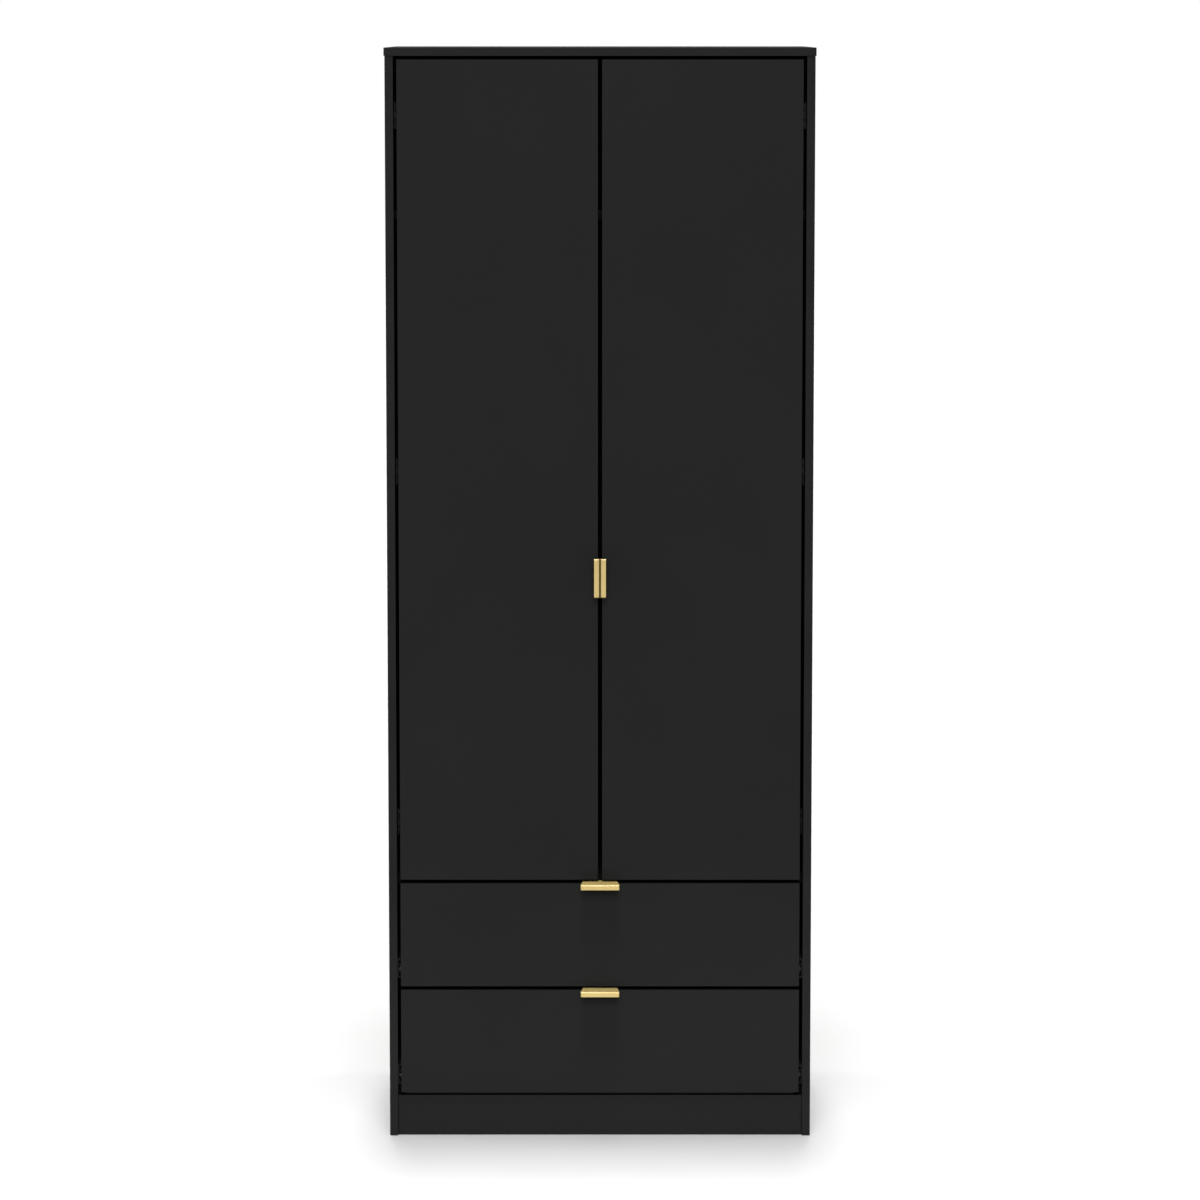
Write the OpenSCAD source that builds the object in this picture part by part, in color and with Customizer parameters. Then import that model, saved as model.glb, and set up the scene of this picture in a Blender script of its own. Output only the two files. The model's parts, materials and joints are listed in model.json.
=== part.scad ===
// Tall two-door wardrobe with two drawers below the doors, in 15 mm board.
// Frame: X to the right, Y to the back, Z up. The origin is on the floor, at the
// centre of the footprint that includes the handles.

/* [Overall] */
// Height from the floor to the top face
total_h = 1970; // [1940:5:2020]
// Width over the two side panels
body_w = 765; // [720:5:840]
// Depth from the front plane to the rear face of the back panels
body_d = 530; // [520:5:600]
// Thickness of every board
board = 15; // [15:0.5:16]
// Thickness of the hardboard back panels
back_t = 3; // [2.5:0.5:4]

/* [Top and plinth] */
// How far the top stands out over each side
top_side = 1.5; // [0:0.5:5]
// How far the top stands out in front
top_front = 2; // [0:0.5:8]
// Height of the plinth
plinth_h = 74.5; // [70:0.5:80]
// How far the plinth is set back
plinth_back = 6.5; // [2:0.5:10]

/* [Fronts] */
// Gap between neighbouring fronts, and around them
gap = 5.5; // [4:0.5:6]
// Gap between the two doors
door_gap = 6.5; // [5:0.5:8]
// Height of each drawer front
drawer_front_h = 190.75; // [190:0.25:200]

/* [Inside] */
// Height of the hat shelf's underside
hat_shelf_z = 1665; // [1500:5:1720]
// Drop from the hat shelf to the centre of the hanging rail
rail_drop = 60; // [50:5:90]
// Height of the drawer sides
box_h = 140; // [120:1:145]
// Length of the drawer sides
box_l = 470; // [468:1:480]
// Thickness of the drawer sides and drawer backs
box_t = 12; // [12:0.5:14]
// Travel of the drawers to the stops in their runners
drawer_travel = 330; // [200:5:335]

/* [Handles] */
// Length of a handle
handle_l = 70; // [60:1:120]
// How far a handle stands out from its front
handle_out = 33; // [20:1:36]
// Height of a handle's front lip
handle_lip = 9.5; // [8:0.5:16]
// Thickness of the handle's sheet
handle_t = 2.2; // [1.5:0.1:2.2]
// Height of the centre of the door handles
handle_z = 1026; // [900:1:1200]

/* [Hidden] */
$fn = 48;
eps = 1;                                     // how far a cut runs past a face
half_w = body_w / 2;
inner_x = half_w - board;                    // inner face of a side panel
y_front = -(body_d + handle_out) / 2 + handle_out;
y_back = y_front + body_d;
y_sides = y_back - back_t;                   // rear edge of the sides and shelves
z_top = total_h - board;                     // underside of the top
lower_z = plinth_h + gap;                    // lower edge of the lower drawer front
upper_z = lower_z + drawer_front_h + gap;    // lower edge of the upper drawer front
door_z = upper_z + drawer_front_h + gap;     // lower edge of the doors
door_h = z_top - gap - door_z;
front_x = inner_x - gap;                     // outer edge of the doors and drawer fronts
divider_z = door_z - gap / 2 - board / 2;    // underside of the divider shelf
shelf_y = y_front + board + 8;               // front edge of the hat shelf
divider_y = y_front + board + 7;             // front edge of the divider and the base
back_split = divider_z + board / 2;          // where the two back panels meet
back_floor_gap = 20;                         // under the lower back panel

// Fasteners
screw_r = 1.75;          // pan-head wood screw, 3.5 mm
screw_l = 12.6;
screw_head_r = 3.3;
screw_head_h = 1.4;
fit = 0.05;              // radial clearance of a fastener in its hole
dowel_r = 4;             // 8 mm wood dowel, 10 mm in the face and 20 mm in the edge
dowel_face = 10;
dowel_edge = 20;
cam_r = 7.5;             // cam housing and its bolt
cam_deep = 12;
cam_in = 24;             // from the board's edge to the cam's centre
bolt_thread_r = 2.5;
bolt_thread_l = 10;
bolt_shank_r = 3;
nail_r = 0.8;
nail_l = 18;
nail_head_r = 2;
nail_head_h = 0.6;
nail_off = 4;            // nails of each back panel from the divider's middle
upper_nail_zs = [560, 860, 1160, 1460, 1760, 1930];
lower_nail_zs = [130, 270, 410];

// Concealed inset hinge, in a frame at the front edge of a side panel's inner face
hinge_pin = [15, 8.5];   // the door's turning centre, inwards and backwards
hinge_pin_r = 1.25;
hinge_pin_half = 10.5;
knuckle_r = 2.4;
cup_x = gap + 22;        // centre of the cup
cup_r = 17.5;
cup_deep = 11.5;
cup_flange = 1.5;
pocket_z = 7.2;          // half the width of the pocket in the cup
arm_z = 6.5;             // half the width of the arm
arm_t = 2.2;
plate_t = 2.5;           // thickness of the hinge plates and the rail sockets
rail_x = 9.4;            // height of the mounting plate's rail, and half its width
plate_rail_z = 5;
arm_path = [hinge_pin, [25, 7.3], [27.6, 10], [27.6, 25], [rail_x + arm_t / 2, 42],
            [rail_x + arm_t / 2, 88]];
hinge_zs = [door_z + 100, door_z + door_h / 2, door_z + door_h - 100];
cup_screw_dz = 24;
plate_y = 52;            // the plate's screw line, from the front plane
plate_screw_dz = 16;

// Drawer box
box_up = 15;                                 // above its front's lower edge
box_back_y = y_front + board + box_l - box_t;
bottom_up = 12;                              // groove for the bottom, above the box's lower edge
bottom_t = 3;
groove = 5;

// Roller runners, in the gap between a drawer side and a side panel
run_gap = 12.5;
run_t = 1.2;
run_l = 450;
run_y = y_front + board + 2;                 // front end of a cabinet runner
box_x = inner_x - run_gap;                   // outer face of a drawer side
roller_r = 11;
roller_w = 7;
roller_x = box_x + 2.2;                      // inner end of a roller
axle_r = 3;
run_clear = 0.1;                             // between a roller and what it runs on
run_slack = 0.6;                             // between a roller and what it passes
ledge_up = 22;                               // runner's ledge above the box's lower edge
ledge_w = 9;
channel_h = 34;
channel_lip = 10.2;
channel_up = box_up + ledge_up - run_clear - 2 * roller_r - run_slack - run_t;
front_roller_y = run_y + 15;
rear_roller_y = y_front + board + run_l - 12;
stop_y = rear_roller_y - drawer_travel - 10; // rear face of the stop in the cabinet runner
function front_roller_z(z) = z + box_up + ledge_up - run_clear - roller_r;
function rear_roller_z(z) = z + channel_up + run_t + run_clear + roller_r;

// Oval hanging rail and its sockets
rail_h = 30;
rail_w = 15;
rail_t = 1.2;
rail_y = (y_front + board + y_sides) / 2;
rail_z = hat_shelf_z - rail_drop;
socket_deep = 12;
socket_screw_dz = 25;

// Wall brackets under the top, to each side of the middle
bracket_x = 250;
bracket_z = z_top - 17;
bracket_t = 2;
bracket_hole_r = 2.75;

// Handles
handle_taper = 5.6;      // how much narrower each end is at the leg than at the lip
handle_corner = 2.5;
handle_bend = 2.7;       // outer radius between top and lip
arc_steps = 6;
handle_leg = 20;

dowel_ys = [y_front + 110, y_sides - 110];
cam_ys = [y_front + 62, y_sides - 62];
plinth_ys = [y_front + plinth_back + board / 2, y_sides - board / 2];
board_mids = [hat_shelf_z + board / 2, divider_z + board / 2, plinth_h + board / 2];

BLACK = [0.15, 0.15, 0.15];
BRASS = [0.84, 0.74, 0.5];
ZINC = [0.7, 0.71, 0.72];
BLACK_NICKEL = [0.3, 0.3, 0.31];
GRAPHITE = [0.22, 0.22, 0.22];
GREY_BOARD = [0.72, 0.72, 0.7];

DRAWER_PARTS = ["front", "side_left", "side_right", "back", "bottom", "dowels", "screws",
                "handle", "runners", "front_rollers", "rear_rollers"];
DOOR_PARTS = ["door_panel", "door_handle", "hinge_cups", "hinge_pins", "door_screws"];

// ---------- placing ----------

module both_sides() {
    children();
    mirror([1, 0, 0]) children();
}

module on_side(right) {
    mirror([right ? 1 : 0, 0, 0]) children();
}

// A board between its lowest and its highest corner
module slab(low, high) {
    translate(low) cube(high - low);
}

// The joints below are in frames whose plane z = 0 is where two boards meet. The board
// that takes the joint in its edge lies below it. Only the left half is placed.
module at_left_end(z, ys) {
    for (y = ys)
        translate([-inner_x, y, z]) rotate([0, -90, 0]) children();
}

module at_left_top(ys) {
    for (y = ys)
        translate([-inner_x - board / 2, y, z_top]) rotate([0, 0, 180]) children();
}

module at_left_plinth_ends() {
    for (z = [0.3, 0.7])
        at_left_end(plinth_h * z, plinth_ys) children();
}

// Each hinge of the left door, in the hinge's own frame
module at_hinges() {
    for (z = hinge_zs)
        translate([-inner_x, y_front, z]) children();
}

module at_plate_screws() {
    at_hinges()
        for (dz = [-plate_screw_dz, plate_screw_dz])
            translate([plate_t, plate_y, dz]) rotate([0, 90, 0]) children();
}

module at_runner_screws() {
    for (z = [lower_z, upper_z], y = [50, 210, 380])
        translate([-inner_x + run_t, run_y + y, z + channel_up + roller_r + run_t])
            rotate([0, 90, 0]) children();
}

module at_socket_screws() {
    for (dz = [-socket_screw_dz, socket_screw_dz])
        translate([-inner_x + plate_t, rail_y, rail_z + dz]) rotate([0, 90, 0]) children();
}

module at_bracket_screws() {
    translate([-bracket_x, y_sides - 20, z_top - bracket_t]) rotate([180, 0, 0]) children();
}

module at_side_nails(zs) {
    for (z = zs)
        translate([-half_w + board / 2, y_back, z]) children();
}

module at_shelf_nails(z) {
    for (x = [-240, 0, 240])
        translate([x, y_back, z]) children();
}

module at_upper_nails() {
    both_sides() at_side_nails(upper_nail_zs) children();
    at_shelf_nails(hat_shelf_z + board / 2) children();
    at_shelf_nails(divider_z + board / 2 + nail_off) children();
}

module at_lower_nails() {
    both_sides() at_side_nails(lower_nail_zs) children();
    at_shelf_nails(divider_z + board / 2 - nail_off) children();
    at_shelf_nails(plinth_h + board / 2) children();
}

// ---------- fasteners ----------

// Pan-head screw along -Z with a cross recess. The head rests on z = 0.
module screw() {
    difference() {
        union() {
            cylinder(r = screw_head_r, h = screw_head_h);
            translate([0, 0, -screw_l]) cylinder(r = screw_r, h = screw_l);
        }
        for (turn = [0, 90])
            rotate([0, 0, turn]) translate([-1.8, -0.35, 0.5]) cube([3.6, 0.7, eps]);
    }
}

module screw_hole() {
    translate([0, 0, -screw_l - 0.2]) cylinder(r = screw_r + fit, h = screw_l + 0.2 + eps);
}

module dowel() {
    translate([0, 0, -dowel_edge]) cylinder(r = dowel_r, h = dowel_edge + dowel_face);
}

module dowel_hole() {
    translate([0, 0, -dowel_edge - 0.5])
        cylinder(r = dowel_r + fit, h = dowel_edge + dowel_face + 1);
}

// Bolt of a cam joint. Its head ends in the middle of the cam.
module cam_bolt() {
    cylinder(r = bolt_thread_r, h = bolt_thread_l);
    translate([0, 0, -cam_in]) cylinder(r = bolt_shank_r, h = cam_in);
}

// Cam housing, with the radial hole that its bolt enters and a slot for a driver
module cam_lock() {
    difference() {
        translate([-board / 2, 0, -cam_in]) rotate([0, 90, 0]) cylinder(r = cam_r, h = cam_deep);
        translate([0, 0, -cam_in - 3]) cylinder(r = bolt_shank_r + 0.4, h = cam_r + 3 + eps);
        translate([-board / 2 - eps, -5, -cam_in - 0.8]) cube([eps + 2, 10, 1.6]);
    }
}

module cam_cut() {
    cylinder(r = bolt_thread_r + fit, h = bolt_thread_l + 0.3);
    translate([0, 0, -cam_in]) cylinder(r = bolt_shank_r + 0.5, h = cam_in);
    translate([-board / 2 - eps, 0, -cam_in])
        rotate([0, 90, 0]) cylinder(r = cam_r + fit, h = cam_deep + eps + 0.1);
}

// Flat-headed nail towards -Y. Its head is flush with y = 0.
module nail() {
    rotate([90, 0, 0]) {
        cylinder(r = nail_r, h = nail_l);
        cylinder(r = nail_head_r, h = nail_head_h);
    }
}

module nail_cut() {
    rotate([90, 0, 0]) translate([0, 0, -eps]) {
        cylinder(r = nail_r + fit, h = nail_l + 0.2 + eps);
        cylinder(r = nail_head_r + fit, h = nail_head_h + eps);
    }
}

// ---------- carcass ----------

module side_panel(right) {
    on_side(right) color(BLACK) difference() {
        slab([-half_w, y_front, 0], [-inner_x, y_sides, z_top]);
        for (z = board_mids) {
            at_left_end(z, cam_ys) cam_cut();
            at_left_end(z, dowel_ys) dowel_hole();
        }
        at_left_top(cam_ys) cam_cut();
        at_left_top(dowel_ys) dowel_hole();
        at_left_plinth_ends() dowel_hole();
        at_plate_screws() screw_hole();
        at_runner_screws() screw_hole();
        at_socket_screws() screw_hole();
        at_side_nails(concat(upper_nail_zs, lower_nail_zs)) nail_cut();
    }
}

module top_panel() {
    color(BLACK) difference() {
        slab([-half_w - top_side, y_front - top_front, z_top],
             [half_w + top_side, y_back, total_h]);
        both_sides() {
            at_left_top(cam_ys) cam_cut();
            at_left_top(dowel_ys) dowel_hole();
            at_bracket_screws() screw_hole();
        }
    }
}

// A board between the side panels, from y0 to their rear edges
module cross_board(y0, z0) {
    color(BLACK) difference() {
        slab([-inner_x, y0, z0], [inner_x, y_sides, z0 + board]);
        both_sides() {
            at_left_end(z0 + board / 2, cam_ys) cam_cut();
            at_left_end(z0 + board / 2, dowel_ys) dowel_hole();
        }
        children();
    }
}

module hat_shelf() {
    cross_board(shelf_y, hat_shelf_z) at_shelf_nails(hat_shelf_z + board / 2) nail_cut();
}

module divider_shelf() {
    cross_board(divider_y, divider_z)
        for (off = [-nail_off, nail_off])
            at_shelf_nails(divider_z + board / 2 + off) nail_cut();
}

module base_panel() {
    cross_board(divider_y, plinth_h) at_shelf_nails(plinth_h + board / 2) nail_cut();
}

module plinth(y0) {
    color(BLACK) difference() {
        slab([-inner_x, y0, 0], [inner_x, y0 + board, plinth_h]);
        both_sides() at_left_plinth_ends() dowel_hole();
    }
}

module back_panel(z0, z1) {
    color("saddlebrown") difference() {
        slab([-half_w + eps, y_sides, z0], [half_w - eps, y_back, z1]);
        children();
    }
}

module back_panel_upper() {
    back_panel(back_split + 0.25, z_top) {
        at_upper_nails() nail_cut();
        both_sides()
            translate([-bracket_x, y_back + eps, bracket_z])
                rotate([90, 0, 0]) cylinder(r = bracket_hole_r, h = back_t + 2 * eps);
    }
}

module back_panel_lower() {
    back_panel(back_floor_gap, back_split - 0.25) at_lower_nails() nail_cut();
}

// Upright oval, 2D, of straight sides and two half circles
module oval(w, h) {
    for (s = [-1, 1])
        translate([0, s * (h - w) / 2]) circle(r = w / 2);
    square([w, h - w], center = true);
}

module along_x(x0, x1) {
    translate([x0, 0, 0]) rotate([90, 0, 90]) linear_extrude(height = x1 - x0) children();
}

module hanging_rail() {
    reach = inner_x - plate_t;
    color(GRAPHITE) translate([0, rail_y, rail_z]) along_x(-reach, reach) difference() {
        oval(rail_w, rail_h);
        oval(rail_w - 2 * rail_t, rail_h - 2 * rail_t);
    }
}

module rail_sockets() {
    color(GRAPHITE) both_sides() difference() {
        translate([0, rail_y, rail_z]) {
            along_x(-inner_x, -inner_x + plate_t) oval(rail_w + 7, 2 * socket_screw_dz + 12);
            along_x(-inner_x + plate_t, -inner_x + socket_deep) difference() {
                oval(rail_w + 4, rail_h + 4);
                oval(rail_w + 2 * fit, rail_h + 2 * fit);
            }
        }
        at_socket_screws() screw_hole();
    }
}

module wall_brackets() {
    color(GRAPHITE) both_sides() difference() {
        union() {
            slab([-bracket_x - 10, y_sides - 32, z_top - bracket_t],
                 [-bracket_x + 10, y_sides, z_top]);
            slab([-bracket_x - 10, y_sides - bracket_t, z_top - 30],
                 [-bracket_x + 10, y_sides, z_top]);
        }
        at_bracket_screws() screw_hole();
        translate([-bracket_x, y_sides + eps, bracket_z])
            rotate([90, 0, 0]) cylinder(r = bracket_hole_r, h = bracket_t + 2 * eps);
    }
}

module wood_dowels() {
    color("burlywood") both_sides() {
        for (z = board_mids)
            at_left_end(z, dowel_ys) dowel();
        at_left_top(dowel_ys) dowel();
        at_left_plinth_ends() dowel();
    }
}

module at_cams() {
    both_sides() {
        for (z = board_mids)
            at_left_end(z, cam_ys) children();
        at_left_top(cam_ys) children();
    }
}

module cam_bolts() {
    color(ZINC) at_cams() cam_bolt();
}

module cam_locks() {
    color(ZINC) at_cams() cam_lock();
}

module back_panel_nails() {
    color(ZINC) {
        at_upper_nails() nail();
        at_lower_nails() nail();
    }
}

module carcass_screws() {
    color(BLACK_NICKEL) both_sides() {
        at_plate_screws() screw();
        at_runner_screws() screw();
        at_socket_screws() screw();
        at_bracket_screws() screw();
    }
}

// ---------- hinges ----------

// Cross-shaped plate with the rail that carries the arm
module hinge_plates() {
    color(BLACK_NICKEL) both_sides() difference() {
        at_hinges() {
            slab([0, plate_y - 7, -24], [plate_t, plate_y + 7, 24]);
            slab([0, 42, -plate_rail_z], [rail_x, 90, plate_rail_z]);
        }
        at_plate_screws() screw_hole();
    }
}

// Unit normal of a stretch of a path, on its left
function left_of(a, b) = [a[1] - b[1], b[0] - a[0]] / norm(b - a);

// Point i of a path moved sideways by d, with mitred corners
function aside(p, i, d) =
    let (a = left_of(p[max(i - 1, 0)], p[max(i, 1)]),
         b = left_of(p[min(i, len(p) - 2)], p[min(i + 1, len(p) - 1)]))
    p[i] + (a + b) * d / (1 + a * b);

// A strip of even thickness along a path, 2D
module strip(points, t) {
    last = len(points) - 1;
    polygon(concat([for (i = [0:last]) aside(points, i, t / 2)],
                   [for (i = [last:-1:0]) aside(points, i, -t / 2)]));
}

// Cranked arm from the plate's rail round the door's edge into the cup
module hinge_arms() {
    color(BLACK_NICKEL) both_sides() at_hinges() difference() {
        union() {
            translate([0, 0, -arm_z]) linear_extrude(height = 2 * arm_z) {
                strip(arm_path, arm_t);
                translate(hinge_pin) circle(r = knuckle_r);
            }
            for (z = [plate_rail_z + 0.1, -arm_z])
                slab([3, 46, z], [rail_x + arm_t / 2, 88, z + arm_z - plate_rail_z - 0.1]);
        }
        translate(concat(hinge_pin, -arm_z - eps))
            cylinder(r = hinge_pin_r + fit, h = 2 * (arm_z + eps));
    }
}

// Cup let into the door's rear face, with a flange and a pocket for the arm
module hinge_cup() {
    difference() {
        union() {
            translate([cup_x, board, 0]) rotate([90, 0, 0]) cylinder(r = cup_r, h = cup_deep);
            translate([0, board + cup_flange, 0]) rotate([90, 0, 0])
                linear_extrude(height = cup_flange) {
                    translate([cup_x, 0]) circle(r = cup_r + 1.5);
                    translate([cup_x + 6, 0]) {
                        square([14, 2 * cup_screw_dz], center = true);
                        for (s = [-1, 1])
                            translate([0, s * cup_screw_dz]) circle(r = 7);
                    }
                }
        }
        slab([hinge_pin[0] - knuckle_r - 0.5, board - cup_deep + 1.1, -pocket_z],
             [cup_x + 14.5, board + cup_flange + eps, pocket_z]);
        pin_cut();
        at_cup_screws() screw_hole();
    }
}

module at_cup_screws() {
    for (s = [-1, 1])
        translate([cup_x + 6, board + cup_flange, s * cup_screw_dz])
            rotate([-90, 0, 0]) children();
}

module hinge_pin() {
    translate(concat(hinge_pin, -hinge_pin_half))
        cylinder(r = hinge_pin_r, h = 2 * hinge_pin_half);
}

module pin_cut() {
    translate(concat(hinge_pin, -hinge_pin_half))
        cylinder(r = hinge_pin_r + 0.02, h = 2 * hinge_pin_half);
}

// The hole in the door for a cup
module cup_cut() {
    translate([cup_x, board + eps, 0])
        rotate([90, 0, 0]) cylinder(r = cup_r + fit, h = cup_deep + eps + 0.1);
    at_cup_screws() screw_hole();
}

// ---------- handles ----------

function arc(centre, r, from, to) =
    [for (i = [0:arc_steps]) let (a = from + (to - from) * i / arc_steps)
        centre + r * [cos(a), sin(a)]];

// Section of a handle, in depth and height: lip, bend, top and leg
module handle_profile() {
    bend_at = [handle_bend - handle_out, handle_t - handle_bend];
    polygon(concat(
        [[board + handle_t, -handle_leg]],
        arc([board, 0], handle_t, 0, 90),
        arc(bend_at, handle_bend, 90, 180),
        [[-handle_out, handle_t - handle_lip], [handle_t - handle_out, handle_t - handle_lip]],
        arc(bend_at, handle_bend - handle_t, 180, 90),
        [[board, 0], [board, -handle_leg]]));
}

// Plan of a handle: full length at the lip, with round corners, tapered to the leg
module handle_plan() {
    half = handle_l / 2;
    back_half = half - handle_taper;
    corner_y = handle_corner - handle_out;
    polygon(concat(
        [[back_half, board + handle_t], [-back_half, board + handle_t]],
        arc([handle_corner - half, corner_y], handle_corner, 180, 270),
        arc([half - handle_corner, corner_y], handle_corner, 270, 360)));
}

// Edge pull bent from sheet: a top over the board's edge, a lip in front and a leg behind.
// The board's front face is y = 0 and its edge is z = 0.
module edge_pull() {
    color(BRASS) difference() {
        intersection() {
            along_x(-handle_l / 2, handle_l / 2) handle_profile();
            translate([0, 0, -handle_leg - eps])
                linear_extrude(height = handle_leg + handle_t + 2 * eps) handle_plan();
        }
        at_handle_screws() screw_hole();
    }
}

module at_handle_screws() {
    for (x = [-22, 22])
        translate([x, board + handle_t, -handle_leg / 2]) rotate([-90, 0, 0]) children();
}

module on_left_door_edge() {
    translate([-door_gap / 2, y_front, handle_z]) rotate([0, 90, 0]) children();
}

module on_drawer_edge(z) {
    translate([0, y_front, z + drawer_front_h]) children();
}

// ---------- doors ----------

module door_panel(right) {
    on_side(right) color(BLACK) difference() {
        slab([-front_x, y_front, door_z], [-door_gap / 2, y_front + board, door_z + door_h]);
        at_hinges() cup_cut();
        on_left_door_edge() at_handle_screws() screw_hole();
    }
}

module door_handle(right) {
    on_side(right) on_left_door_edge() edge_pull();
}

module hinge_cups(right) {
    on_side(right) color(BLACK_NICKEL) at_hinges() hinge_cup();
}

module hinge_pins(right) {
    on_side(right) color(BLACK_NICKEL) at_hinges() hinge_pin();
}

module door_screws(right) {
    on_side(right) color(BLACK_NICKEL) {
        at_hinges() at_cup_screws() screw();
        on_left_door_edge() at_handle_screws() screw();
    }
}

// ---------- drawers, each placed by the lower edge of its front ----------

// Dowel joints of the left drawer side: into the front, and into the box's back
module at_box_dowels(z) {
    for (up = [35, 105]) {
        translate([-box_x + box_t / 2, y_front + board, z + box_up + up])
            rotate([90, 0, 0]) children();
        translate([-box_x + box_t, box_back_y + box_t / 2, z + box_up + up])
            rotate([0, -90, 0]) children();
    }
}

// 6 mm dowel, 9 mm in the face board and 20 mm in the edge board
module box_dowel(grow) {
    translate([0, 0, -20 - grow * 5]) cylinder(r = 3 + grow, h = 29 + grow * 10);
}

module at_box_screws(z) {
    for (y = [60, 230, 400])
        translate([-box_x + box_t / 2, y_front + board + y, z + box_up - run_t])
            rotate([180, 0, 0]) children();
}

module bottom_groove(z) {
    slab([-box_x + box_t - groove, y_front + board - groove, z + box_up + bottom_up],
         [box_x - box_t + groove, y_front + board + box_l + eps,
          z + box_up + bottom_up + bottom_t + 0.2]);
}

module drawer_front(z) {
    color(BLACK) difference() {
        slab([-front_x, y_front, z], [front_x, y_front + board, z + drawer_front_h]);
        bottom_groove(z);
        both_sides() at_box_dowels(z) box_dowel(fit);
        on_drawer_edge(z) at_handle_screws() screw_hole();
    }
}

module drawer_side(z, right) {
    on_side(right) color(GREY_BOARD) difference() {
        slab([-box_x, y_front + board, z + box_up],
             [-box_x + box_t, y_front + board + box_l, z + box_up + box_h]);
        bottom_groove(z);
        at_box_dowels(z) box_dowel(fit);
        at_box_screws(z) screw_hole();
    }
}

module drawer_back(z) {
    color(GREY_BOARD) difference() {
        slab([-box_x + box_t, box_back_y, z + box_up + bottom_up + bottom_t + 0.2],
             [box_x - box_t, box_back_y + box_t, z + box_up + box_h - 5]);
        both_sides() at_box_dowels(z) box_dowel(fit);
    }
}

module drawer_bottom(z) {
    inset = 0.5;
    color(GREY_BOARD)
        slab([-box_x + box_t - groove + inset, y_front + board - groove + inset,
              z + box_up + bottom_up + 0.1],
             [box_x - box_t + groove - inset, y_front + board + box_l - 2,
              z + box_up + bottom_up + 0.1 + bottom_t]);
}

module drawer_dowels(z) {
    color("burlywood") both_sides() at_box_dowels(z) box_dowel(0);
}

module drawer_screws(z) {
    color(BLACK_NICKEL) {
        both_sides() at_box_screws(z) screw();
        on_drawer_edge(z) at_handle_screws() screw();
    }
}

module drawer_handle(z) {
    on_drawer_edge(z) edge_pull();
}

// ---------- roller runners ----------

// Profile under and beside the drawer side, with the ledge that runs on the cabinet's
// roller, and the axle of its own roller at the rear
module drawer_runners(z) {
    y0 = y_front + board + 1;
    y1 = y0 + run_l;
    up = z + box_up;
    color(GRAPHITE) both_sides() difference() {
        union() {
            slab([-box_x, y0, up - run_t], [-box_x + box_t, y1, up]);
            slab([-box_x - run_t, y0, up - run_t], [-box_x, y1, up + ledge_up + run_t]);
            slab([-box_x - run_t - ledge_w, y0, up + ledge_up],
                 [-box_x, y1, up + ledge_up + run_t]);
            axle(box_x + run_t, roller_x + roller_w + 0.7, rear_roller_y, rear_roller_z(z));
        }
        at_box_screws(z) screw_hole();
    }
}

// Left axle between two distances from the middle
module axle(x0, x1, y, z) {
    translate([-x1, y, z]) rotate([0, 90, 0]) cylinder(r = axle_r, h = x1 - x0);
}

// Channel on the side panel, with the axle of its roller at the front and a stop
module cabinet_runner(z) {
    zc = z + channel_up;
    lip = channel_lip;
    slab([-inner_x, run_y, zc], [-inner_x + run_t, run_y + run_l, zc + channel_h]);
    for (dz = [0, channel_h - run_t])
        slab([-inner_x, run_y, zc + dz], [-inner_x + lip, run_y + run_l, zc + dz + run_t]);
    slab([-inner_x, stop_y - 3, zc], [-inner_x + lip, stop_y, zc + 6]);
    axle(roller_x - 0.7, inner_x - run_t, front_roller_y, front_roller_z(z));
}

module cabinet_runners() {
    color(GRAPHITE) both_sides() difference() {
        union() {
            cabinet_runner(lower_z);
            cabinet_runner(upper_z);
        }
        at_runner_screws() screw_hole();
    }
}

module roller_pair(y, z) {
    color("gray") both_sides() translate([-roller_x - roller_w, y, z]) rotate([0, 90, 0])
        difference() {
            cylinder(r = roller_r, h = roller_w);
            translate([0, 0, -eps]) cylinder(r = axle_r + fit, h = roller_w + 2 * eps);
        }
}

module front_rollers(z) {
    roller_pair(front_roller_y, front_roller_z(z));
}

module rear_rollers(z) {
    roller_pair(rear_roller_y, rear_roller_z(z));
}

// ---------- drawing ----------

side_panel(false);  // side_panel_left
side_panel(true);  // side_panel_right
top_panel();
hat_shelf();
divider_shelf();
base_panel();
plinth(y_front + plinth_back);  // plinth_front
plinth(y_sides - board);  // plinth_rear
back_panel_upper();
back_panel_lower();
hanging_rail();
rail_sockets();
wall_brackets();
wood_dowels();
cam_bolts();
cam_locks();
back_panel_nails();
carcass_screws();
hinge_plates();
hinge_arms();
cabinet_runners();

for (right = [false, true]) {
    door = right ? "right_" : "left_";
    door_panel(right);
    door_handle(right);
    hinge_cups(right);
    hinge_pins(right);
    door_screws(right);
}

for (level = [["upper_drawer_", upper_z], ["lower_drawer_", lower_z]]) {
    drawer = level[0];
    z = level[1];
    drawer_front(z);
    drawer_side(z, false);
    drawer_side(z, true);
    drawer_back(z);
    drawer_bottom(z);
    drawer_dowels(z);
    drawer_screws(z);
    drawer_handle(z);
    drawer_runners(z);
    front_rollers(z);
    rear_rollers(z);
}
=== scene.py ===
import json
import math

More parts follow.
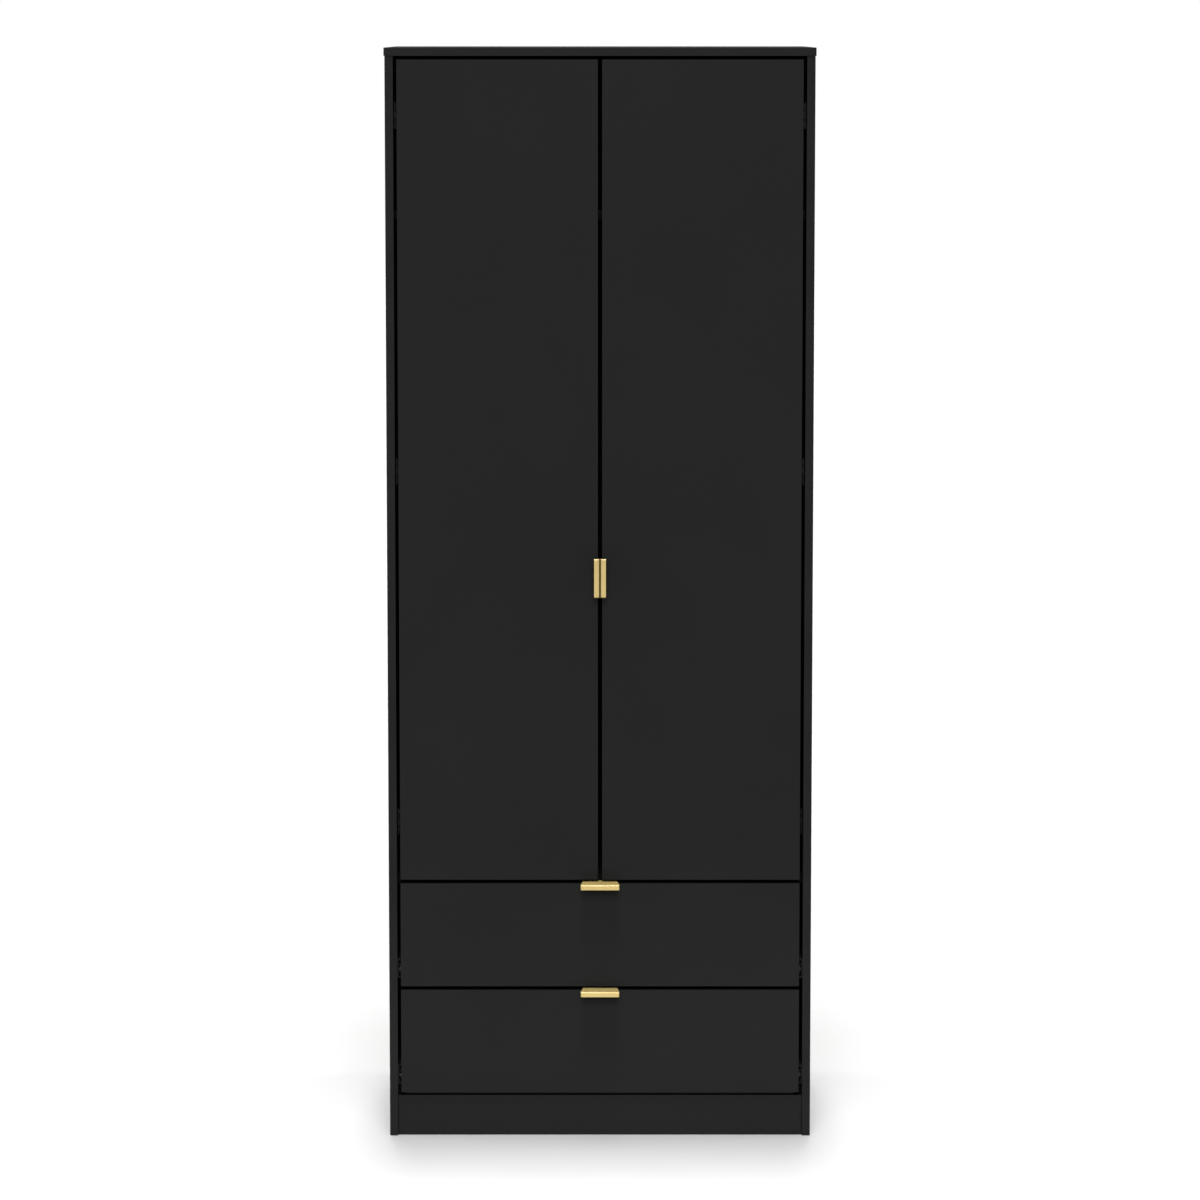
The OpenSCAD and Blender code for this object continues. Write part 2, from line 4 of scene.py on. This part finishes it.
import bmesh
import bpy
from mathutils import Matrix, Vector

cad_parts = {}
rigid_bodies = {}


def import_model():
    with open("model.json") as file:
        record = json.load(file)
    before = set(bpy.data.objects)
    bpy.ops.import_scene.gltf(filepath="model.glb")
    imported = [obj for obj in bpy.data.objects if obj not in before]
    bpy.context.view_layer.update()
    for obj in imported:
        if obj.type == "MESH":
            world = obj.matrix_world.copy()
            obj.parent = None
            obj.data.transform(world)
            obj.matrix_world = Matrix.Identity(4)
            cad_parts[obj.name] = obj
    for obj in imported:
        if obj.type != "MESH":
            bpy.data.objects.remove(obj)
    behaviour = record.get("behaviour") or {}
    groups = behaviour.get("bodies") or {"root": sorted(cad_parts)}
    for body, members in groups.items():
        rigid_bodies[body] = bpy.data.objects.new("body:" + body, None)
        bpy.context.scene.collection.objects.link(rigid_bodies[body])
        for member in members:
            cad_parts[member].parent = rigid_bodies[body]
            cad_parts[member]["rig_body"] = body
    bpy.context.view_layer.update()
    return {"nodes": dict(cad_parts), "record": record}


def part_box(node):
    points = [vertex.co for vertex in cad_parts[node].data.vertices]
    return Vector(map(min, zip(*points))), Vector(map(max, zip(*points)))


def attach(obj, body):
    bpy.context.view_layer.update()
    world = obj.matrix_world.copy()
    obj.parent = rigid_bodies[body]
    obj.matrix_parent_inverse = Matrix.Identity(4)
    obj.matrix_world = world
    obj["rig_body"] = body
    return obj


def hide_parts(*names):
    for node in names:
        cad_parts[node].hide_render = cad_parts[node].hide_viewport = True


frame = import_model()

NODES = frame["nodes"]
MM = 0.001

BOARD_EDGE = 0.8 * MM          # easing of the faced boards
DRAWER_EDGE = 0.6 * MM
PANEL_EDGE = 0.2 * MM
BOTTOM_EDGE = 0.15 * MM
METAL_EDGE = 0.35 * MM

CAMERA_OUT = 8.402             # from the doors' faces to the camera
CAMERA_HEIGHT = 2.0045
CAMERA_DOWN = 6.929            # degrees below the horizon
CAMERA_LENS = 141.23

ROOM_LIGHT = 0.3
FLOOR_HALF = 30
FLOOR_GLOW = 0.05
LOW_RADIANCE = 6.6


# ---------- materials ----------

class Finish:
    """A material whose detail is placed in the shared frame, in metres."""

    def __init__(self, name, **fixed):
        self.material = bpy.data.materials.new(name)
        self.material.use_nodes = True
        self.tree = self.material.node_tree
        self.shader = self.tree.nodes["Principled BSDF"]
        for key, value in fixed.items():
            self.put(key.replace("_", " "), value)
        self.coords = self.add("TexCoord").outputs["Object"]

    def add(self, kind, inputs=None, **settings):
        node = self.tree.nodes.new("ShaderNode" + kind)
        for key, value in settings.items():
            setattr(node, key, value)
        for key, value in (inputs or {}).items():
            self.link(node.inputs[key], value)
        return node

    def link(self, socket, value):
        if isinstance(value, bpy.types.NodeSocket):
            self.tree.links.new(value, socket)
        else:
            socket.default_value = value

    def put(self, key, value):
        if isinstance(value, tuple) and len(value) == 3:
            value = (*value, 1)
        self.link(self.shader.inputs[key], value)

    def noise(self, scale, detail=2.0, stretch=(1, 1, 1), distortion=0.0):
        place = self.add("Mapping", {"Vector": self.coords, "Scale": stretch})
        return self.add("TexNoise", {
            "Vector": place.outputs[0], "Scale": scale, "Detail": detail,
            "Distortion": distortion}).outputs[0]

    def cells(self, scale, stretch=(1, 1, 1), feature="F1"):
        place = self.add("Mapping", {"Vector": self.coords, "Scale": stretch})
        return self.add("TexVoronoi", {"Vector": place.outputs[0], "Scale": scale},
                        feature=feature)

    def bands(self, scale, axis):
        return self.add("TexWave", {"Vector": self.coords, "Scale": scale},
                        wave_type="BANDS", bands_direction=axis).outputs[1]

    def math(self, operation, a, b=0.0):
        return self.add("Math", {0: a, 1: b}, operation=operation).outputs[0]

    def between(self, value, low, high, start=0.3, end=0.7):
        return self.add("MapRange", {"Value": value, "From Min": start, "From Max": end,
                                     "To Min": low, "To Max": high}).outputs[0]

    def ramp(self, value, *stops):
        node = self.add("ValToRGB", {"Fac": value})
        points = node.color_ramp.elements
        while len(points) < len(stops):
            points.new(0.5)
        for point, (place, colour) in zip(points, stops):
            point.position = place
            point.color = (*colour, 1)
        return node.outputs["Color"]

    def blend(self, value, a, b):
        node = self.add("Mix", {"Factor": value}, data_type="RGBA")
        self.link(node.inputs[6], a)
        self.link(node.inputs[7], b)
        return node.outputs[2]

    def bump(self, *layers):
        """Each layer is (height, depth in metres); later ones lie on earlier ones."""
        normal = None
        for height, depth in layers:
            node = self.add("Bump", {"Height": height, "Distance": depth, "Strength": 1.0})
            if normal:
                self.link(node.inputs["Normal"], normal)
            normal = node.outputs["Normal"]
        self.put("Normal", normal)


def grey(value):
    return (value, value, value)


def black_face():
    f = Finish("black_melamine_face", **{"Specular_IOR_Level": 0.045})
    cloud = f.noise(2.6, 3)
    pearl = f.noise(1100, 2)
    rub = f.noise(14, 4, stretch=(1, 1, 0.25))
    f.put("Base Color", f.ramp(f.math("ADD", f.math("MULTIPLY", cloud, 0.6),
                                      f.math("MULTIPLY", pearl, 0.4)),
                               (0.3, grey(0.0063)), (0.7, grey(0.0079))))
    f.put("Roughness", f.between(f.math("ADD", f.math("MULTIPLY", cloud, 0.5),
                                        f.math("MULTIPLY", rub, 0.5)), 0.50, 0.62))
    f.bump((f.noise(260, 2), 0.00006), (pearl, 0.00003))
    return f.material


def black_band():
    f = Finish("black_edge_band", **{"Specular_IOR_Level": 0.045})
    lines = f.noise(700, 2, stretch=(1, 1, 0.05))
    f.put("Base Color", f.ramp(f.noise(9, 3), (0.3, grey(0.0063)), (0.7, grey(0.0079))))
    f.put("Roughness", f.between(lines, 0.42, 0.54))
    f.bump((lines, 0.00003))
    return f.material


def gap_shade_band():
    """The matt band on the edges that face a gap, with painted shade: its colour is far darker
    than the other bands so that the gaps read black.
    """
    f = Finish("black_edge_band_painted_gap_shade", **{"Specular_IOR_Level": 0.02})
    lines = f.noise(700, 2, stretch=(0.05, 1, 1))
    # Painted shade: about a third of the faces' colour, standing in for the shade inside the
    # gaps
    f.put("Base Color", f.ramp(f.noise(9, 3), (0.3, grey(0.0020)), (0.7, grey(0.0028))))
    f.put("Roughness", f.between(lines, 0.5, 0.62))
    f.bump((lines, 0.00003))
    return f.material


def hardboard_back():
    f = Finish("hardboard_screen_side", **{"Specular_IOR_Level": 0.25})
    fibres = f.noise(60, 6, stretch=(1, 1, 2.5), distortion=1.5)
    flecks = f.noise(420, 3)
    stain = f.noise(1.7, 4)
    f.put("Base Color", f.blend(
        f.between(stain, 0.0, 0.35),
        f.ramp(f.math("ADD", f.math("MULTIPLY", fibres, 0.65), f.math("MULTIPLY", flecks, 0.35)),
               (0.3, (0.155, 0.085, 0.042)), (0.5, (0.27, 0.165, 0.088)),
               (0.72, (0.40, 0.27, 0.155))),
        (0.17, 0.10, 0.052, 1)))
    f.put("Roughness", f.between(fibres, 0.72, 0.9))
    screen = f.math("MULTIPLY", f.bands(105, "X"), f.bands(105, "Z"))
    f.bump((fibres, 0.0002), (screen, 0.00018))
    return f.material


def hardboard_inside():
    f = Finish("hardboard_black_side", **{"Specular_IOR_Level": 0.08})
    fibres = f.noise(90, 4, distortion=1.0)
    f.put("Base Color", f.ramp(fibres, (0.3, grey(0.0058)), (0.7, grey(0.0082))))
    f.put("Roughness", f.between(fibres, 0.5, 0.64))
    f.bump((fibres, 0.00008), (f.noise(900, 2), 0.00004))
    return f.material


def drawer_foil():
    f = Finish("grey_linen_foil", **{"Specular_IOR_Level": 0.35})
    warp = f.noise(900, 2, stretch=(1, 0.04, 1))
    weft = f.noise(900, 2, stretch=(1, 1, 0.04))
    weave = f.math("MULTIPLY", f.math("ADD", warp, weft), 0.5)
    f.put("Base Color", f.ramp(weave, (0.35, (0.20, 0.20, 0.196)),
                               (0.65, (0.25, 0.25, 0.245))))
    f.put("Roughness", f.between(f.noise(8, 3), 0.42, 0.55))
    f.bump((weave, 0.00006))
    return f.material


def chipboard():
    f = Finish("raw_chipboard", **{"Specular_IOR_Level": 0.2})
    chips = f.cells(420, stretch=(1, 1, 2.2))
    colour = f.ramp(f.add("SeparateColor", {0: chips.outputs["Color"]}).outputs[0],
                    (0.0, (0.20, 0.12, 0.06)), (0.5, (0.42, 0.29, 0.165)),
                    (1.0, (0.60, 0.46, 0.29)))
    f.put("Base Color", f.blend(f.between(f.noise(900, 3), 0.0, 0.5), colour,
                                (0.32, 0.21, 0.115, 1)))
    f.put("Roughness", f.between(f.noise(300, 3), 0.75, 0.92))
    f.bump((chips.outputs["Distance"], 0.00025))
    return f.material


def brass(name, stretch):
    """Brushed brass. stretch is small along the brushing."""
    f = Finish(name, Metallic=0.25, **{"Specular_IOR_Level": 0.5})
    brushing = f.noise(2600, 3, stretch=stretch)
    bloom = f.noise(45, 4)
    f.put("Base Color", f.ramp(f.math("ADD", f.math("MULTIPLY", brushing, 0.5),
                                      f.math("MULTIPLY", bloom, 0.5)),
                               (0.3, (0.308, 0.229, 0.079)), (0.7, (0.350, 0.265, 0.098))))
    f.put("Roughness", f.between(brushing, 0.39, 0.51))
    f.bump((brushing, 0.000012))
    return f.material


def powder_black():
    f = Finish("black_powder_coat", **{"Specular_IOR_Level": 0.2})
    peel = f.noise(700, 2)
    f.put("Base Color", f.ramp(f.noise(25, 4, stretch=(0.2, 1, 1)),
                               (0.3, grey(0.014)), (0.7, grey(0.021))))
    f.put("Roughness", f.between(peel, 0.34, 0.48))
    f.bump((peel, 0.00006))
    return f.material


def black_nickel():
    f = Finish("black_nickel_plate", Metallic=1.0)
    haze = f.noise(160, 4)
    f.put("Base Color", f.ramp(haze, (0.3, (0.020, 0.020, 0.0215)),
                               (0.7, (0.032, 0.031, 0.033))))
    f.put("Roughness", f.between(f.noise(420, 3), 0.36, 0.5))
    f.bump((f.noise(700, 2), 0.00001))
    return f.material


def graphite():
    f = Finish("graphite_epoxy_coat", **{"Specular_IOR_Level": 0.12})
    peel = f.noise(520, 2)
    film = f.noise(30, 4, stretch=(1, 0.2, 1))
    f.put("Base Color", f.ramp(film, (0.3, (0.010, 0.010, 0.0103)),
                               (0.7, (0.016, 0.016, 0.0165))))
    f.put("Roughness", f.between(peel, 0.3, 0.44))
    f.bump((peel, 0.00005))
    return f.material


def nylon():
    f = Finish("black_nylon", **{"Specular_IOR_Level": 0.2})
    flow = f.noise(240, 4, distortion=2.0)
    f.put("Base Color", f.ramp(flow, (0.3, grey(0.011)), (0.7, grey(0.017))))
    f.put("Roughness", f.between(flow, 0.38, 0.52))
    f.bump((flow, 0.00002))
    return f.material


def beech():
    f = Finish("beech_dowel", **{"Specular_IOR_Level": 0.3})
    grain = f.noise(900, 4, stretch=(0.06, 1, 1))
    pores = f.cells(1600, stretch=(0.12, 1, 1)).outputs["Distance"]
    f.put("Base Color", f.ramp(f.math("ADD", f.math("MULTIPLY", grain, 0.7),
                                      f.math("MULTIPLY", pores, 0.3)),
                               (0.25, (0.45, 0.29, 0.15)), (0.55, (0.63, 0.44, 0.255)),
                               (0.8, (0.70, 0.52, 0.32))))
    f.put("Roughness", f.between(grain, 0.55, 0.72))
    f.bump((grain, 0.00006))
    return f.material


def zinc():
    f = Finish("zinc_plated_steel", Metallic=1.0)
    spangle = f.cells(260)
    tone = f.add("SeparateColor", {0: spangle.outputs["Color"]}).outputs[0]
    f.put("Base Color", f.ramp(f.math("ADD", f.math("MULTIPLY", tone, 0.4),
                                      f.math("MULTIPLY", f.noise(90, 4), 0.6)),
                               (0.25, (0.50, 0.51, 0.525)), (0.75, (0.66, 0.665, 0.66))))
    f.put("Roughness", f.between(f.noise(380, 3), 0.26, 0.44))
    f.bump((f.noise(900, 2), 0.00001))
    return f.material


FACE, BAND, GAP_SHADE_BAND = black_face(), black_band(), gap_shade_band()
SCREEN, LINED = hardboard_back(), hardboard_inside()
FOIL, CHIPS = drawer_foil(), chipboard()
BRASS_X = brass("brushed_brass_along_x", (0.02, 1, 1))
BRASS_Z = brass("brushed_brass_along_z", (1, 1, 0.02))
POWDER, NICKEL, GRAPHITE = powder_black(), black_nickel(), graphite()
NYLON, BEECH, ZINC = nylon(), beech(), zinc()


# ---------- pieces ----------

def piece(name, mesh, body, materials):
    obj = bpy.data.objects.new(name, mesh)
    bpy.context.scene.collection.objects.link(obj)
    for material in materials:
        mesh.materials.append(material)
    normals = obj.modifiers.new("flat_faces", "WEIGHTED_NORMAL")
    normals.keep_sharp = True
    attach(obj, body)
    return obj


def cleaned(node):
    """The node's solid as a bmesh, with its triangles joined into flat faces."""
    bm = bmesh.new()
    bm.from_mesh(NODES[node].data)
    bmesh.ops.remove_doubles(bm, verts=bm.verts, dist=1e-6)
    bmesh.ops.dissolve_limit(bm, angle_limit=math.radians(0.4), use_dissolve_boundaries=False,
                             verts=bm.verts, edges=bm.edges, delimit=set())
    return bm


def shaded(bm, name, angle=35):
    for face in bm.faces:
        face.smooth = True
    for edge in bm.edges:
        edge.smooth = len(edge.link_faces) == 2 and edge.calc_face_angle(0) < math.radians(angle)
    mesh = bpy.data.meshes.new(name)
    bm.to_mesh(mesh)
    bm.free()
    return mesh


def outer_edges(bm, low, high):
    """Edges that lie along the solid's box."""
    def sides(point):
        return {(i, end) for i in range(3) for end, corner in ((0, low), (1, high))
                if abs(point[i] - corner[i]) < 1e-5}
    return [e for e in bm.edges if len(sides(e.verts[0].co) & sides(e.verts[1].co)) >= 2]


def board(node, face, others, width=BOARD_EDGE):
    """A board with eased edges. others maps (axis, sign) of a normal to a material."""
    bm = cleaned(node)
    low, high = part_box(node)
    bmesh.ops.bevel(bm, geom=outer_edges(bm, low, high), offset=width, segments=3,
                    profile=0.5, affect="EDGES", clamp_overlap=False)
    materials = [face]
    for material in others.values():
        if material not in materials:
            materials.append(material)
    for f in bm.faces:
        axis = max(range(3), key=lambda i: abs(f.normal[i]))
        key = (axis, f.normal[axis] > 0)
        side = (high if key[1] else low)[axis]
        on_side = abs(f.calc_center_median()[axis] - side) < 1e-5
        if abs(f.normal[axis]) < 0.999:          # an eased edge belongs to its band
            keys = [(i, f.normal[i] > 0) for i in range(3) if abs(f.normal[i]) > 0.05]
            banded = [k for k in keys if others.get(k) in (BAND, GAP_SHADE_BAND)]
            key, on_side = (banded or [None])[0], True
        if on_side and key in others:
            f.material_index = materials.index(others[key])
    body = NODES[node]["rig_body"]
    obj = piece(node + "_board", shaded(bm, node + "_board"), body, materials)
    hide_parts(node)
    return obj


def eased(node, material, width):
    """A metal solid with every sharp edge rounded a little."""
    bm = cleaned(node)
    sharp = [e for e in bm.edges
             if len(e.link_faces) == 2 and e.calc_face_angle(0) > math.radians(30)]
    bmesh.ops.bevel(bm, geom=sharp, offset=width, segments=3, profile=0.5,
                    affect="EDGES", clamp_overlap=True)
    body = NODES[node]["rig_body"]
    obj = piece(node + "_solid", shaded(bm, node + "_solid"), body, [material])
    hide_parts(node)
    return obj


LEFT, RIGHT = (0, False), (0, True)
FRONT, BACK = (1, False), (1, True)
DOWN, UP = (2, False), (2, True)
# The edges of the doors and drawer fronts face the gaps and take the band with painted gap shade
FRONT_EDGES = {LEFT: GAP_SHADE_BAND, RIGHT: GAP_SHADE_BAND, DOWN: GAP_SHADE_BAND, UP: GAP_SHADE_BAND}

for side in ("left", "right"):
    board(f"side_panel_{side}", FACE,
          {FRONT: BAND, BACK: CHIPS, DOWN: BAND, UP: CHIPS})
    board(f"{side}_door_panel", FACE, FRONT_EDGES)
board("top_panel", FACE, {FRONT: BAND, BACK: BAND, LEFT: BAND, RIGHT: BAND})
# The front edges of the shelves and base panel, and the plinth's top edge below, take the band
# with painted gap shade
for node in ("hat_shelf", "divider_shelf", "base_panel"):
    board(node, FACE, {FRONT: GAP_SHADE_BAND, BACK: CHIPS})
board("plinth_front", FACE, {DOWN: BAND, UP: GAP_SHADE_BAND})
board("plinth_rear", FACE, {DOWN: BAND})
for level in ("upper", "lower"):
    board(f"back_panel_{level}", SCREEN, {FRONT: LINED}, PANEL_EDGE)
for level in ("upper", "lower"):
    board(f"{level}_drawer_front", FACE, FRONT_EDGES)
    for side in ("left", "right"):
        board(f"{level}_drawer_side_{side}", FOIL, {BACK: CHIPS}, DRAWER_EDGE)
    board(f"{level}_drawer_back", FOIL, {DOWN: CHIPS}, DRAWER_EDGE)
    board(f"{level}_drawer_bottom", FOIL,
          {DOWN: SCREEN, BACK: SCREEN}, BOTTOM_EDGE)
    eased(f"{level}_drawer_handle", BRASS_X, METAL_EDGE)
for side in ("left", "right"):
    eased(f"{side}_door_handle", BRASS_Z, METAL_EDGE)

KEPT = {
    "hanging_rail": POWDER, "rail_sockets": POWDER, "wall_brackets": POWDER,
    "wood_dowels": BEECH, "cam_bolts": ZINC, "cam_locks": ZINC, "back_panel_nails": ZINC,
    "carcass_screws": NICKEL, "hinge_plates": NICKEL, "hinge_arms": NICKEL,
    "cabinet_runners": GRAPHITE,
}
for side in ("left", "right"):
    KEPT[f"{side}_hinge_cups"] = NICKEL
    KEPT[f"{side}_hinge_pins"] = NICKEL
    KEPT[f"{side}_door_screws"] = NICKEL
for level in ("upper", "lower"):
    KEPT[f"{level}_drawer_dowels"] = BEECH
    KEPT[f"{level}_drawer_screws"] = NICKEL
    KEPT[f"{level}_drawer_runners"] = GRAPHITE
    for end in ("front", "rear"):
        KEPT[f"{level}_drawer_{end}_rollers"] = NYLON
for node, material in KEPT.items():
    NODES[node].material_slots[0].material = material


def turned(bm, profile, place, steps=32):
    """A solid turned about a Y axis through place. profile is (radius, y) points in mm."""
    rings = []
    for radius, y in profile:
        if radius == 0:
            rings.append([bm.verts.new((place[0], place[1] + y * MM, place[2]))])
            continue
        rings.append([bm.verts.new((place[0] + radius * MM * math.cos(a), place[1] + y * MM,
                                    place[2] + radius * MM * math.sin(a)))
                      for a in (2 * math.pi * i / steps for i in range(steps))])
    for one, two in zip(rings, rings[1:]):
        for i in range(steps):
            corners = [one[i % len(one)], one[(i + 1) % len(one)],
                       two[(i + 1) % len(two)], two[i % len(two)]]
            bm.faces.new(list(dict.fromkeys(corners)))


# Push-in plugs that close the two wall fixing holes from inside: a domed head against the
# back panel's inner face, and a stem that stops just short of its outer one
PLUG = [(0, -7.2), (2.2, -7.1), (3.9, -6.5), (4.6, -5.5), (4.6, -5.02), (2.6, -5.02),
        (2.6, -0.8), (2.2, -0.4), (0, -0.4)]
fixings = next(m for m in frame["record"]["mounts"] if m["name"] == "wall_fixings")
fixing_x = fixings["dims"]["spacing_x_mm"] / 2 * MM
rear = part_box("back_panel_upper")[1].y
bm = bmesh.new()
for x in (-fixing_x, fixing_x):
    turned(bm, PLUG, (x, rear, fixings["pos_m"][2]))
bmesh.ops.recalc_face_normals(bm, faces=bm.faces)
piece("wall_fixing_plugs", shaded(bm, "wall_fixing_plugs", 40), "carcass", [NYLON])


# ---------- camera, floor and light ----------

scene = bpy.context.scene
scene.view_settings.view_transform = "Standard"

camera = bpy.data.objects.new("camera", bpy.data.cameras.new("camera"))
camera.data.lens = CAMERA_LENS
camera.data.sensor_width = 36
camera.data.clip_end = 200
camera.location = (0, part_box("left_door_panel")[0].y - CAMERA_OUT, CAMERA_HEIGHT)
camera.rotation_euler = (math.radians(90 - CAMERA_DOWN), 0, 0)
scene.collection.objects.link(camera)
scene.camera = camera

world = bpy.data.worlds.new("studio")
world.use_nodes = True
sky = world.node_tree
backdrop = sky.nodes["Background"]
backdrop.inputs["Color"].default_value = (1, 1, 1, 1)
backdrop.inputs["Strength"].default_value = 1.0
room = sky.nodes.new("ShaderNodeBackground")
room.inputs["Color"].default_value = (1, 1, 1, 1)
room.inputs["Strength"].default_value = ROOM_LIGHT
seen = sky.nodes.new("ShaderNodeLightPath")
either = sky.nodes.new("ShaderNodeMixShader")
sky.links.new(seen.outputs["Is Camera Ray"], either.inputs[0])
sky.links.new(room.outputs[0], either.inputs[1])
sky.links.new(backdrop.outputs[0], either.inputs[2])
sky.links.new(either.outputs[0], sky.nodes["World Output"].inputs["Surface"])
scene.world = world

paper = Finish("white_studio_floor", Roughness=0.9, Specular_IOR_Level=0.0)
grain = paper.noise(900, 2)
paper.put("Base Color", paper.ramp(grain, (0.3, grey(0.259)), (0.7, grey(0.267))))
paper.put("Emission Color", (1, 1, 1))
paper.put("Emission Strength", FLOOR_GLOW)
paper.bump((grain, 0.00005))
floor_mesh = bpy.data.meshes.new("floor")
corners = [(x * FLOOR_HALF, y * FLOOR_HALF, 0) for x, y in ((-1, -1), (1, -1), (1, 1), (-1, 1))]
floor_mesh.from_pydata(corners, [], [(0, 1, 2, 3)])
floor_mesh.materials.append(paper.material)
floor = bpy.data.objects.new("floor", floor_mesh)
scene.collection.objects.link(floor)


def place_light(light, place, target):
    obj = bpy.data.objects.new(light.name, light)
    obj.location = place
    obj.rotation_euler = (Vector(target) - obj.location).to_track_quat("-Z", "Y").to_euler()
    obj.visible_camera = False
    scene.collection.objects.link(obj)


def far_light(name, azimuth, elevation, spread, strength):
    """A large far softbox. Azimuth 0 is in front of the doors; angles are in degrees."""
    light = bpy.data.lights.new(name, "SUN")
    light.energy = strength
    light.angle = math.radians(spread)
    az, el = math.radians(azimuth), math.radians(elevation)
    place_light(light, (9 * math.sin(az) * math.cos(el), -9 * math.cos(az) * math.cos(el),
                        9 * math.sin(el)), (0, 0, 0))


# The front light throws the short shadows under the pulls. The overhead lights lean a
# little from behind, so that the floor's shadow falls in front of the plinth.
far_light("front_light", 0, 28, 28, 3.45)
far_light("top_light", 0, 75, 14, 3.4)
for side, azimuth in (("left", -100), ("right", 100)):
    far_light(f"{side}_light", azimuth, 20, 20, 1.35)
for i in range(4):
    far_light(f"overhead_light_{i}", 180, 88.56 - 2.87 * i, 4.6, 1.35)

# A strip near the floor, level with the plinth, which the other lights reach least
low = bpy.data.lights.new("low_light", "AREA")
low.shape = "RECTANGLE"
low.size, low.size_y = 1.4, 0.07
low.energy = LOW_RADIANCE * math.pi * low.size * low.size_y
place_light(low, (0, -0.9, 0.036), (0, -0.25, 0.036))
